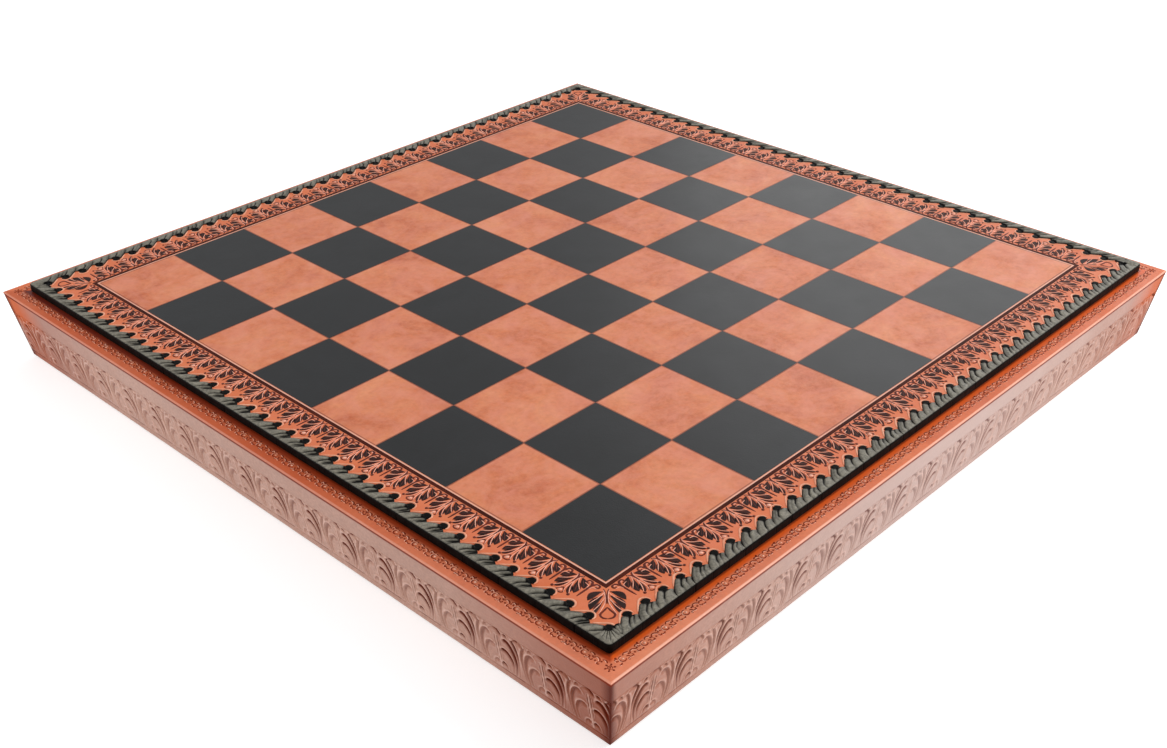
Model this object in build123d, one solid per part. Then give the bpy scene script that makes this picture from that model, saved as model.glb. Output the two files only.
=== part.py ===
from build123d import *
import math
import os

# Leather-covered board case: a tapered box with a laced board as its lift-off lid.
# Millimetres. X runs from the front-left corner to the front-right corner, Y to the back, +Z up.
# The origin is on the surface that the case stands on, under the middle of the board.

# Playing field
square = 50.0
squares_per_side = 8
inlay_depth = 0.30
inlay_proud = 0.05
inlay_play = 0.05
line_gap = 1.0
line_width = 2.0

# Laced lid
border_width = 28.9
lid_core_thick = 2.3
lid_leather_thick = 1.2
lid_felt_thick = 0.7
hole_inset = 8.2
hole_radius = 2.3
stitches_per_side = 40
lace_thick = 1.0
lace_roll = 1.4
stitch_lean = 5.5
stitch_gap = 0.2
stitch_spread = 3.9
stitch_neck = 2.1
lace_under = 0.75
lace_rest_gap = 0.05
lace_tail = 6.0
lace_sink = 0.9
lace_profile = ((-0.5, 0), (-0.28, 1), (0.28, 1), (0.5, 0))
gather_crease = 0.5
gather_bevel = 0.5
crease_angles = (-15, -38, -60, -82)

# Locating battens under the lid
batten_width = 5.0
batten_depth = 6.8
batten_clearance = 1.0

# Box body
rim_height = 43.0
ledge_show = 11.1
side_taper = 7.0
rail_width = 28.0
rail_thick = 5.0
wall_foot_thick = 11.0
cover_thick = 1.0
lip_radius = 0.8
strip_drop = 13.0
band_thick = 1.6
band_gap = 0.15
bead_height = 3.2
bead_proud = 0.5
bottom_thick = 5.0
base_felt_thick = 1.0
base_felt_inset = 7.0

# Inside of the box
lining_thick = 1.0
floor_felt_thick = 1.0
divider_thick = 4.0
divider_top_gap = 1.0
lap_clearance = 0.2
divider_end_gap = 0.3

# Values that follow from the ones above
field_half = square * squares_per_side / 2
lid_half = field_half + border_width
rim_half = lid_half + ledge_show
foot_half = rim_half - side_taper
opening_half = rim_half - rail_width
wall_inner_half = foot_half - wall_foot_thick
hole_half = lid_half - hole_inset
lid_underside = rim_height + lace_under + lace_rest_gap
core_half = lid_half - lace_roll
lid_core_top = lid_underside + lid_core_thick
lid_top = lid_core_top + lid_leather_thick
stitch_pitch = 2 * hole_half / stitches_per_side
cover_base = rim_height - cover_thick
rail_base = cover_base - rail_thick
batten_outer = opening_half - batten_clearance
batten_inner = batten_outer - batten_width
strip_base = rim_height - strip_drop
wall_base = base_felt_thick
floor_top = wall_base + bottom_thick
felt_top = floor_top + floor_felt_thick
divider_top = rail_base - divider_top_gap
hole_apothem = hole_radius * math.cos(math.radians(30))
stitch_width = stitch_pitch - stitch_gap
core_out = core_half - hole_half


def outer_reach(z):
    """Half width of the sloping outside of the box at a height."""
    return foot_half + (rim_half - foot_half) * z / rim_height


def slab(half, low, high):
    """Square plate about the middle of the board."""
    return Pos(0, 0, (low + high) / 2) * Box(2 * half, 2 * half, high - low)


def side_bar(profile):
    """Front bar of a square ring, mitred at both ends, from (outward, height) points."""
    far = max(outward for outward, _ in profile) + 1
    low = min(height for _, height in profile) - 1
    high = max(height for _, height in profile) + 1
    section = make_face(Polyline(*[(0, -outward, height) for outward, height in profile], close=True))
    bar = extrude(section, amount=far, dir=(1, 0, 0), both=True)
    wedge = make_face(Polyline((0, 0, low), (-far, -far, low), (far, -far, low), close=True))
    return bar & extrude(wedge, amount=high - low, dir=(0, 0, 1))


def write(name, *solids):
    """Write one node as separate solids."""
    shape = solids[0] if len(solids) == 1 else Compound(children=list(solids))
    export_step(shape, f"parts/{name}.step")


def write_ring(name, *solids):
    """Write the four sides of a ring, turned from the front one."""
    for turn, side in enumerate(("front", "right", "back", "left")):
        write(f"{name}_{side}", *[Rot(0, 0, 90 * turn) * solid for solid in solids])


def bottom():
    """Base panel, the felt it stands on and the felt inside on the floor."""
    write("base_panel", slab(wall_inner_half, wall_base, floor_top))
    write("base_felt", slab(foot_half - base_felt_inset, 0, base_felt_thick))
    write("floor_felt", slab(wall_inner_half - lining_thick, floor_top, felt_top))


def walls():
    """Tapered wooden walls and the flat frame of rails on them, that the lid rests on."""
    wall = [
        (wall_inner_half, wall_base),
        (outer_reach(wall_base) - band_thick, wall_base),
        (outer_reach(strip_base) - band_thick, strip_base),
        (outer_reach(strip_base) - cover_thick, strip_base),
        (outer_reach(rail_base) - cover_thick, rail_base),
        (wall_inner_half, rail_base),
    ]
    write_ring("wall_board", side_bar(wall))
    rail = [
        (opening_half, rail_base),
        (outer_reach(rail_base) - cover_thick, rail_base),
        (outer_reach(cover_base) - cover_thick, cover_base),
        (opening_half, cover_base),
    ]
    write_ring("rim_rail", side_bar(rail))
    lining = [
        (wall_inner_half - lining_thick, felt_top),
        (wall_inner_half, felt_top),
        (wall_inner_half, rail_base),
        (wall_inner_half - lining_thick, rail_base),
    ]
    write_ring("wall_lining", side_bar(lining))


def coverings():
    """Leather of the ledge with its rolled lip, the plain strip under it and the pressed band."""
    lip = [
        (rim_half - lip_radius * (1 - math.sin(math.radians(angle))),
         rim_height - lip_radius * (1 - math.cos(math.radians(angle))))
        for angle in (0, 30, 60, 90)
    ]
    ledge = [
        (opening_half, cover_base),
        (outer_reach(cover_base) - cover_thick, cover_base),
        (rim_half - cover_thick, cover_base - band_gap),
        (rim_half, cover_base - band_gap),
        *reversed(lip),
        (opening_half, rim_height),
    ]
    write_ring("ledge_cover", side_bar(ledge))
    strip_top = cover_base - 2 * band_gap
    strip_foot = strip_base + band_gap
    strip = [
        (outer_reach(strip_foot) - cover_thick, strip_foot),
        (outer_reach(strip_foot), strip_foot),
        (outer_reach(strip_top), strip_top),
        (outer_reach(strip_top) - cover_thick, strip_top),
    ]
    write_ring("plain_strip", side_bar(strip))
    bead_top = wall_base + bead_height
    band = [
        (outer_reach(wall_base) - band_thick, wall_base),
        (outer_reach(wall_base) + bead_proud, wall_base),
        (outer_reach(bead_top) + bead_proud, bead_top),
        (outer_reach(bead_top), bead_top + bead_proud),
        (outer_reach(strip_base), strip_base - bead_proud),
        (outer_reach(strip_base) - bead_proud / 2, strip_base),
        (outer_reach(strip_base) - band_thick, strip_base),
    ]
    write_ring("pressed_band", side_bar(band))


def dividers():
    """Two boards that cross in half laps and part the inside into four trays."""
    length = 2 * (wall_inner_half - lining_thick - divider_end_gap)
    height = divider_top - felt_top
    middle = (divider_top + felt_top) / 2
    board = Pos(0, 0, middle) * Box(length, divider_thick, height)
    notch_width = divider_thick + 2 * lap_clearance
    notch = Box(notch_width, 2 * divider_thick, height / 2 + lap_clearance)
    top_notch = Pos(0, 0, divider_top - height / 4 + lap_clearance / 2) * notch
    low_notch = Pos(0, 0, felt_top + height / 4 - lap_clearance / 2) * notch
    write("divider_across", board - top_notch)
    write("divider_along", Rot(0, 0, 90) * (board - low_notch))


def is_dark(column, row):
    """The front corner square is dark."""
    return (column + row) % 2 == 0


def dark_places():
    """Middles of the dark squares."""
    first = -field_half + square / 2
    return [
        (first + column * square, first + row * square)
        for column in range(squares_per_side)
        for row in range(squares_per_side)
        if is_dark(column, row)
    ]


def lace_holes():
    """Lace holes in one ring round the lid, each with a flat towards its edge."""
    punch = extrude(RegularPolygon(hole_radius, 6), amount=2 * lid_leather_thick)
    awl = Pos(0, -hole_half, lid_core_top) * punch
    return [
        Rot(0, 0, 90 * turn) * Pos(-hole_half + count * stitch_pitch, 0, 0) * awl
        for turn in range(4)
        for count in range(1, stitches_per_side + 1)
    ]


def board():
    """Core board, leather with pockets and lace holes, dark squares, field line and felt."""
    write("lid_core", slab(core_half, lid_underside, lid_core_top))
    leather = slab(core_half, lid_core_top, lid_top)
    pocket_side = square - 2 * inlay_play
    pocket_floor = lid_top - inlay_depth
    pocket = extrude(Rectangle(pocket_side, pocket_side), amount=2 * inlay_depth)
    pockets = [Pos(x, y, pocket_floor) * pocket for x, y in dark_places()]
    line_inner = field_half + line_gap
    line_outer = line_inner + line_width
    ring = slab(line_outer, pocket_floor, lid_top + inlay_proud) - slab(line_inner, 0, 2 * lid_top)
    groove = slab(line_outer + inlay_play, pocket_floor, 2 * lid_top)
    groove -= slab(line_inner - inlay_play, 0, 3 * lid_top)
    write("playing_leather", leather - pockets - groove - lace_holes())
    tile_side = pocket_side - 2 * inlay_play
    tile = extrude(Rectangle(tile_side, tile_side), amount=inlay_depth + inlay_proud)
    write("dark_squares", *[Pos(x, y, pocket_floor) * tile for x, y in dark_places()])
    write("field_line", ring)
    write("lid_felt", slab(batten_inner, lid_underside - lid_felt_thick, lid_underside))
    batten = [
        (batten_inner, lid_underside - batten_depth),
        (batten_outer, lid_underside - batten_depth),
        (batten_outer, lid_underside),
        (batten_inner, lid_underside),
    ]
    write_ring("lid_batten", side_bar(batten))


def lace_section(centre, width, outward, height, lift, rise):
    """Corners of a crowned section of a lace, its flat side on the lid.

    The flat side's middle lies at (outward, height); rise is the (outward, up) way that it bulges.
    """
    out_rise, up_rise = rise
    return [
        Vector(centre + across * width, -(outward + out_rise * crown * lift), height + up_rise * crown * lift)
        for across, crown in lace_profile
    ]


def facet(*corners):
    """Flat face between corner points."""
    return Face(Wire.make_polygon(corners, close=True))


def faceted(sections):
    """Solid with flat facets through sections that have the same number of corners."""
    facets = [facet(*sections[0]), facet(*sections[-1])]
    for near, far in zip(sections, sections[1:]):
        for corner in range(len(near)):
            after = (corner + 1) % len(near)
            facets.append(facet(near[corner], near[after], far[after]))
            facets.append(facet(near[corner], far[after], far[corner]))
    return Solid(Shell(facets))


def lean(out):
    """Drift of a stitch's middle along the edge at a distance out from its hole."""
    return -stitch_lean * out / hole_inset


def stitch(hole, stations):
    """Whip stitch on the front edge, from its hole over the edge and back under the lid.

    stations give, from hole to edge, (distance out from the hole line, middle, width) along the edge.
    """
    rim = hole_half + hole_apothem
    slanted = (-math.sqrt(0.5), math.sqrt(0.5))
    sections = [
        lace_section(hole, stitch_neck, rim, lid_top - lace_sink, lace_thick, (-1, 0)),
        lace_section(hole, stitch_neck, rim, lid_top, lace_thick, slanted),
    ]
    for out, middle, width in stations[:-1]:
        sections.append(lace_section(middle, width, hole_half + out, lid_top, lace_thick, (0, 1)))
    _, middle, width = stations[-1]
    top_roll = (lace_roll / lace_thick, 1)
    under_roll = (lace_roll / lace_under, -1)
    sections.append(lace_section(middle, width, core_half, lid_top, lace_thick, top_roll))
    sections.append(lace_section(middle, width, core_half, lid_underside, lace_under, under_roll))
    tail = core_half - lace_tail
    sections.append(lace_section(middle, width, tail, lid_underside, lace_under, (0, -1)))
    return faceted(sections)


def gather():
    """Gathered laces that close the corner at the far end of the front edge.

    Its outline, in (along, outward) from the corner hole, follows the last stitch of this edge
    and the first one of the next edge.
    """
    last_side = lean(core_out) + stitch_width / 2 + stitch_gap
    next_side = stitch_pitch + lean(core_out) - stitch_width / 2 - stitch_gap
    next_spread = stitch_pitch + lean(stitch_spread) - stitch_width / 2 - stitch_gap
    outline = [
        (stitch_neck / 2, hole_apothem + stitch_gap),
        (last_side, core_out),
        (last_side, hole_inset),
        (hole_inset, hole_inset),
        (hole_inset, -next_side),
        (core_out, -next_side),
        (stitch_spread, -next_spread),
        (hole_apothem + stitch_gap, -hole_radius / 2),
    ]
    corner = [(hole_half + along, -hole_half - outward) for along, outward in outline]
    low = lid_underside - lace_under
    high = lid_top + lace_thick
    cap = extrude(Pos(0, 0, low) * make_face(Polyline(*corner, close=True)), amount=high - low)
    rolled = slab(lid_half, low, high)
    rolled = chamfer(rolled.edges().filter_by(Axis.Z, reverse=True), length=gather_bevel)
    core = slab(core_half, low - 1, lid_top)
    crease = Pos(0, 0, high) * Rot(45, 0, 0) * Box(4 * hole_inset, gather_crease, gather_crease)
    creases = [Pos(hole_half, -hole_half, 0) * Rot(0, 0, angle) * crease for angle in crease_angles]
    return (cap & rolled) - core - creases


def lacing():
    """Slanted stitches along one edge, with the fan that closes the corner at its far end."""
    pattern = stitch(0, [
        (stitch_spread, lean(stitch_spread), stitch_width),
        (core_out, lean(core_out), stitch_width),
    ])
    last = stitch(hole_half, [
        (stitch_spread, hole_half + lean(stitch_spread) - stitch_neck / 2, stitch_width - stitch_neck),
        (core_out, hole_half + lean(core_out), stitch_width),
    ])
    stitches = [
        Pos(count * stitch_pitch - hole_half, 0, 0) * pattern
        for count in range(1, stitches_per_side)
    ]
    write_ring("lacing", *stitches, last, gather())


os.makedirs("parts", exist_ok=True)
bottom()
walls()
coverings()
dividers()
board()
lacing()
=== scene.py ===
import math

import bpy
import numpy as np
from mathutils import Matrix, Vector


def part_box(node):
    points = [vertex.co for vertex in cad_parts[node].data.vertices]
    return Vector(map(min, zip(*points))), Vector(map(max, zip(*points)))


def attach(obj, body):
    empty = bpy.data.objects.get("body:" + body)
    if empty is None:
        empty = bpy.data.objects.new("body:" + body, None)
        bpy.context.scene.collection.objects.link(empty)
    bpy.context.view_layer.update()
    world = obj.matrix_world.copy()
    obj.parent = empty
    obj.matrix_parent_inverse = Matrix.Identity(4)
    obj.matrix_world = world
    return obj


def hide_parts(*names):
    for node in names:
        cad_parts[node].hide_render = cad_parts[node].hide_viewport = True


# Leather-covered board case with a laced, lift-off playing board. Metres; patterns are laid out in
# millimetres along a side (s), outwards from the middle (d) and up (z), and turned to the four sides.

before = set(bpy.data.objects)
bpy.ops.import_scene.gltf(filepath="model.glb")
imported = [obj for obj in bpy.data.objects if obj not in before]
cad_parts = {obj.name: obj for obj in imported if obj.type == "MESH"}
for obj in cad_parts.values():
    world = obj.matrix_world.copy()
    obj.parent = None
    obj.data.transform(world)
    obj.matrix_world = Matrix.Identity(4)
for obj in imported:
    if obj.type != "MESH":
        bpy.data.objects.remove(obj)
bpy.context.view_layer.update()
rng = np.random.default_rng(7)
MM = 0.001
SIDES = ("front", "right", "back", "left")

# Sizes read from the frame, in millimetres
LEATHER_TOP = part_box("playing_leather")[1].z / MM
CORE_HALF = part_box("playing_leather")[1].x / MM
LID_HALF = -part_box("lacing_front")[0].y / MM
LID_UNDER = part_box("lid_core")[0].z / MM
LINE_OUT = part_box("field_line")[1].x / MM
RIM_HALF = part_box("ledge_cover_front")[1].x / MM
LEDGE_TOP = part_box("ledge_cover_front")[1].z / MM
BAND_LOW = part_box("pressed_band_front")[0].z / MM
BAND_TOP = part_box("pressed_band_front")[1].z / MM

# Sizes that the frame doesn't give by itself, in millimetres
SQUARE = 50.0
SIDE_LEAN = 7.0
HOLE_INSET = 8.2
STITCHES = 40
FIELD_HALF = 4 * SQUARE
TAPER = SIDE_LEAN / LEDGE_TOP
FOOT_HALF = RIM_HALF - SIDE_LEAN
HOLE_HALF = LID_HALF - HOLE_INSET
PITCH = 2 * HOLE_HALF / STITCHES


# Mesh building

def to_world(points, turn):
    """Points (s, d, z) in millimetres on side number turn, as metres in the shared frame."""
    points = np.asarray(points, float)
    angle = math.radians(90 * turn)
    x = points[..., 0]
    y = -points[..., 1]
    out = np.empty_like(points)
    out[..., 0] = x * math.cos(angle) - y * math.sin(angle)
    out[..., 1] = x * math.sin(angle) + y * math.cos(angle)
    out[..., 2] = points[..., 2]
    return out * MM


class Piece:
    """Vertices, faces and one number per vertex, collected for one mesh."""

    def __init__(self):
        self.points = []
        self.faces = []
        self.values = []
        self.count = 0

    def add(self, points, faces, values=None):
        """Add points and the faces between them, numbered from the first of these points."""
        points = np.asarray(points, float).reshape(-1, 3)
        self.points.append(points)
        shift = self.count
        self.faces += [tuple(shift + corner for corner in face) for face in faces]
        self.values.append(np.zeros(len(points)) if values is None else np.asarray(values, float).ravel())
        self.count += len(points)

    def make(self, name, body, slot, material, smooth=True):
        """Turn what was collected into one object that rides on a body."""
        mesh = bpy.data.meshes.new(name)
        mesh.from_pydata(np.concatenate(self.points).tolist(), [], self.faces)
        layer = mesh.attributes.new("relief", "FLOAT", "POINT")
        layer.data.foreach_set("value", np.concatenate(self.values).astype(np.float32))
        mesh.polygons.foreach_set("use_smooth", [smooth] * len(mesh.polygons))
        mesh.update()
        obj = bpy.data.objects.new(name, mesh)
        bpy.context.scene.collection.objects.link(obj)
        obj.data.materials.append(material)
        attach(obj, body)
        return obj


def tube_faces(rings, around):
    """Faces of a closed tube through rings of points, with both ends capped."""
    faces = []
    for ring in range(rings - 1):
        low = ring * around
        high = low + around
        for step in range(around):
            after = (step + 1) % around
            faces.append((low + step, low + after, high + after, high + step))
    faces.append(tuple(reversed(range(around))))
    faces.append(tuple(range((rings - 1) * around, rings * around)))
    return faces


def smooth_line(points, steps=5):
    """Catmull-Rom curve through points."""
    points = np.asarray(points, float)
    ends = np.vstack([2 * points[0] - points[1], points, 2 * points[-1] - points[-2]])
    out = []
    for index in range(len(points) - 1):
        a, b, c, d = ends[index:index + 4]
        for t in np.linspace(0, 1, steps, endpoint=False):
            out.append(0.5 * (2 * b + (c - a) * t + (2 * a - 5 * b + 4 * c - d) * t * t
                              + (3 * b - a - 3 * c + d) * t ** 3))
    out.append(points[-1])
    return np.array(out)


def stroke(line, width, rise, sink=0.05, taper=True):
    """Raised strip along a line in the plane, as (points (a, b, z), faces)."""
    line = np.asarray(line, float)
    way = np.gradient(line, axis=0)
    way /= np.linalg.norm(way, axis=1)[:, None] + 1e-9
    side = np.stack([-way[:, 1], way[:, 0]], 1)
    t = np.linspace(0, 1, len(line))
    half = np.full(len(line), width / 2.0)
    if taper:
        half *= np.clip(0.35 + 2.2 * np.minimum(t, 1 - t) ** 0.7, 0.3, 1)
    rings = []
    for across, up in ((-1, -sink), (-0.72, rise * 0.75), (0, rise), (0.72, rise * 0.75), (1, -sink)):
        place = line + side * (across * half)[:, None]
        rings.append(np.column_stack([place, np.full(len(line), up)]))
    points = np.stack(rings, 1)
    return points.reshape(-1, 3), tube_faces(len(line), len(rings))


def plate(outline, rise, sink=0.05):
    """Thin plate with an outline in the plane, as (points (a, b, z), faces)."""
    outline = np.asarray(outline, float)
    count = len(outline)
    low = np.column_stack([outline, np.full(count, -sink)])
    high = np.column_stack([outline, np.full(count, rise)])
    faces = [tuple(reversed(range(count))), tuple(range(count, 2 * count))]
    for step in range(count):
        after = (step + 1) % count
        faces.append((step, after, count + after, count + step))
    return np.vstack([low, high]), faces


def leaf(root, tip, width, bend=0.0, steps=9):
    """Outline of a leaf from root to tip, widest past the middle and bent to one side."""
    root = np.asarray(root, float)
    tip = np.asarray(tip, float)
    way = tip - root
    side = np.array([-way[1], way[0]]) / np.linalg.norm(way)
    t = np.linspace(0, 1, steps)
    spine = root + way * t[:, None] + side * (bend * 4 * t * (1 - t))[:, None]
    half = width / 2 * np.sin(np.pi * t ** 1.25) ** 0.8
    left = spine + side * half[:, None]
    right = spine - side * half[:, None]
    return np.vstack([left, right[-2:0:-1]])


def disc(centre, radius, steps=8):
    """Outline of a round dot."""
    angles = np.linspace(0, 2 * np.pi, steps, endpoint=False)
    return np.column_stack([centre[0] + radius * np.cos(angles), centre[1] + radius * np.sin(angles)])


def mirrored(shape):
    """Shape mirrored across its a = 0 line."""
    shape = np.asarray(shape, float) * (-1, 1)
    return shape[::-1]


# Materials

def material(name):
    """Material with a bare Principled shader, its node tree and the shader."""
    mat = bpy.data.materials.new(name)
    mat.use_nodes = True
    nodes = mat.node_tree.nodes
    nodes.clear()
    out = nodes.new("ShaderNodeOutputMaterial")
    shader = nodes.new("ShaderNodeBsdfPrincipled")
    mat.node_tree.links.new(shader.outputs["BSDF"], out.inputs["Surface"])
    return mat, mat.node_tree, shader


def linear(value):
    """Linear light of a screen value given in 0 to 255."""
    value = value / 255
    return value / 12.92 if value <= 0.04045 else ((value + 0.055) / 1.055) ** 2.4


def rgb(red, green, blue):
    """Linear colour of a screen colour given in 0 to 255."""
    return linear(red), linear(green), linear(blue), 1.0


def noise(tree, scale, detail=4.0, rough=0.55, distortion=0.0):
    """Soft noise with so many swells to a metre."""
    node = tree.nodes.new("ShaderNodeTexNoise")
    node.inputs["Scale"].default_value = scale
    node.inputs["Detail"].default_value = detail
    node.inputs["Roughness"].default_value = rough
    node.inputs["Distortion"].default_value = distortion
    place = tree.nodes.new("ShaderNodeTexCoord")
    tree.links.new(place.outputs["Object"], node.inputs["Vector"])
    return node.outputs["Fac"]


def ramp(tree, value, stops):
    """Colour ramp with (position, colour) stops."""
    node = tree.nodes.new("ShaderNodeValToRGB")
    elements = node.color_ramp.elements
    while len(elements) < len(stops):
        elements.new(0.5)
    for element, (position, colour) in zip(elements, stops):
        element.position = position
        element.color = colour
    tree.links.new(value, node.inputs["Fac"])
    return node.outputs["Color"]


def spread(tree, value, low, high, to_low=0.0, to_high=1.0):
    """Value mapped from one range to another, clamped."""
    node = tree.nodes.new("ShaderNodeMapRange")
    for socket, number in (("From Min", low), ("From Max", high), ("To Min", to_low), ("To Max", to_high)):
        node.inputs[socket].default_value = number
    tree.links.new(value, node.inputs["Value"])
    return node.outputs["Result"]


def zone(tree, place, low, high, to_low=0.0, to_high=1.0):
    """Value that changes from one place to another, both given in millimetres."""
    return spread(tree, place, low * MM, high * MM, to_low, to_high)


def blended(tree, amount, first, second, mode="MIX"):
    """Two colours mixed; a colour is a socket or a constant."""
    node = tree.nodes.new("ShaderNodeMix")
    node.data_type = "RGBA"
    node.blend_type = mode
    for place, value in ((0, amount), (6, first), (7, second)):
        if isinstance(value, bpy.types.NodeSocket):
            tree.links.new(value, node.inputs[place])
        else:
            node.inputs[place].default_value = value
    return node.outputs[2]


def calc(tree, kind, first, second=0.0):
    """Sum, product and the like of two numbers; a number is a socket or a constant."""
    node = tree.nodes.new("ShaderNodeMath")
    node.operation = kind
    for socket, value in zip(node.inputs, (first, second)):
        if isinstance(value, bpy.types.NodeSocket):
            tree.links.new(value, socket)
        else:
            socket.default_value = value
    return node.outputs[0]


def product(tree, first, *others):
    """Product of numbers; a number is a socket or a constant."""
    for other in others:
        first = calc(tree, "MULTIPLY", first, other)
    return first


def remainder(tree, value, share):
    """What is left of 1 when a share of the value is taken off."""
    return calc(tree, "SUBTRACT", 1.0, calc(tree, "MULTIPLY", value, share))


def relief_value(tree):
    """The number that each vertex of a piece carries."""
    node = tree.nodes.new("ShaderNodeAttribute")
    node.attribute_name = "relief"
    return node.outputs["Fac"]


def axes(tree):
    """The three coordinates of a place, in metres."""
    place = tree.nodes.new("ShaderNodeTexCoord")
    split = tree.nodes.new("ShaderNodeSeparateXYZ")
    tree.links.new(place.outputs["Object"], split.inputs[0])
    return split.outputs


def reach(tree):
    """Distance from the middle of the board along the nearer axis, in metres."""
    x, y, _ = axes(tree)
    return calc(tree, "MAXIMUM", calc(tree, "ABSOLUTE", x), calc(tree, "ABSOLUTE", y))


def on_side(tree, socket):
    """1 on the side of the box where the given coordinate is the most negative."""
    return zone(tree, calc(tree, "ADD", reach(tree), socket), 0, 2, 1.0, 0.0)


def bumped(tree, shader, height, strength, depth):
    """Bumps from a height socket, of a depth in millimetres."""
    bump = tree.nodes.new("ShaderNodeBump")
    bump.inputs["Strength"].default_value = strength
    bump.inputs["Distance"].default_value = depth * MM
    tree.links.new(height, bump.inputs["Height"])
    tree.links.new(bump.outputs["Normal"], shader.inputs["Normal"])


# Swells of noise, and pebbles of grain, to a metre of leather
PEBBLES = 1300.0
WAVES = 260.0
SPECKS = 420.0
SHEEN_PATCHES = 60.0


def grain(tree, shader, strength):
    """Leather grain: fine pebbles in larger waves."""
    cells = tree.nodes.new("ShaderNodeTexVoronoi")
    cells.inputs["Scale"].default_value = PEBBLES
    place = tree.nodes.new("ShaderNodeTexCoord")
    tree.links.new(place.outputs["Object"], cells.inputs["Vector"])
    height = calc(tree, "ADD", cells.outputs["Distance"], noise(tree, WAVES, 3.0))
    bumped(tree, shader, height, strength, 0.12)


def leather(name, stops, scale, rough=(0.36, 0.52), grain_strength=0.25, extra=None, level=0.45):
    """Mottled leather; extra(tree, colour) may change its colour by place."""
    mat, tree, shader = material(name)
    shader.inputs["Specular IOR Level"].default_value = level
    clouds = noise(tree, scale, 6.0, 0.62, distortion=0.6)
    colour = ramp(tree, clouds, stops)
    specks = spread(tree, noise(tree, SPECKS, 3.0, 0.6), 0.35, 0.65, 0.93, 1.06)
    node = tree.nodes.new("ShaderNodeCombineColor")
    for socket in node.inputs:
        tree.links.new(specks, socket)
    colour = blended(tree, 1.0, colour, node.outputs[0], "MULTIPLY")
    if extra:
        colour = extra(tree, colour)
    tree.links.new(colour, shader.inputs["Base Color"])
    patches = noise(tree, SHEEN_PATCHES, 4.0)
    tree.links.new(spread(tree, patches, 0.3, 0.7, *rough), shader.inputs["Roughness"])
    grain(tree, shader, grain_strength)
    return mat


def stained_and_shaded(tree, amount, colour, stain_and_shade, dull=0.0):
    """Colour with a second colour mixed in, for stains and for painted shade, and less shine there by the
    part dull.
    """
    if dull:
        shader = next(node for node in tree.nodes if node.type == "BSDF_PRINCIPLED")
        shine = shader.inputs["Specular IOR Level"]
        before = shine.links[0].from_socket if shine.links else shine.default_value
        tree.links.new(product(tree, remainder(tree, amount, dull), before), shine)
    return blended(tree, amount, colour, stain_and_shade)


def ledge_tone(tree, colour):
    """Deep orange beside the lid with painted shadows of the lid, painted shade and glare, and a pale lip
    of painted highlight and wear.
    """
    x, y, z = axes(tree)
    out = reach(tree)
    left = on_side(tree, x)
    # Painted shade on the left ledge, lighter towards the front.
    left_ledge_shade = product(tree, left, zone(tree, y, -180, -50, 0.08, 0.5))
    colour = stained_and_shaded(tree, left_ledge_shade, colour, rgb(166, 62, 20), dull=0.6)
    # Painted glare on the ledge near the front corner.
    corner_glare = zone(tree, calc(tree, "ADD", x, y), -420, -280, 0.15, 0.0)
    colour = blended(tree, corner_glare, colour, rgb(244, 190, 164))
    # On the left side the deep orange is a painted shadow of the lid, darker towards the back.
    left_lid_shadow = blended(tree, zone(tree, y, -100, 200), rgb(166, 58, 16), rgb(110, 26, 6))
    glow = blended(tree, left, rgb(230, 92, 20), left_lid_shadow)
    colour = blended(tree, zone(tree, out, LID_HALF + 1.9, LID_HALF + 3.3, 1.0, 0.0), colour, glow)
    # Painted contact shadow along the lid's edge.
    lid_contact_shadow = zone(tree, out, LID_HALF + 0.1, LID_HALF + 0.8, 0.7, 0.0)
    colour = blended(tree, lid_contact_shadow, colour, rgb(110, 34, 8))
    # Pale lip: painted highlight on the rounded outer edge with some wear, weaker on the left side.
    lip = zone(tree, out, RIM_HALF - 0.9, RIM_HALF - 0.6, 0.0, 0.65)
    lip = product(tree, lip, remainder(tree, left, 0.6))
    colour = blended(tree, lip, colour, rgb(246, 184, 158))
    # Painted shade in the seam under the lip, without shine.
    under_lip = zone(tree, z, LEDGE_TOP - 0.6, LEDGE_TOP - 0.9, 0.0, 0.9)
    return stained_and_shaded(tree, under_lip, colour, rgb(112, 36, 18), dull=1.0)


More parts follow.
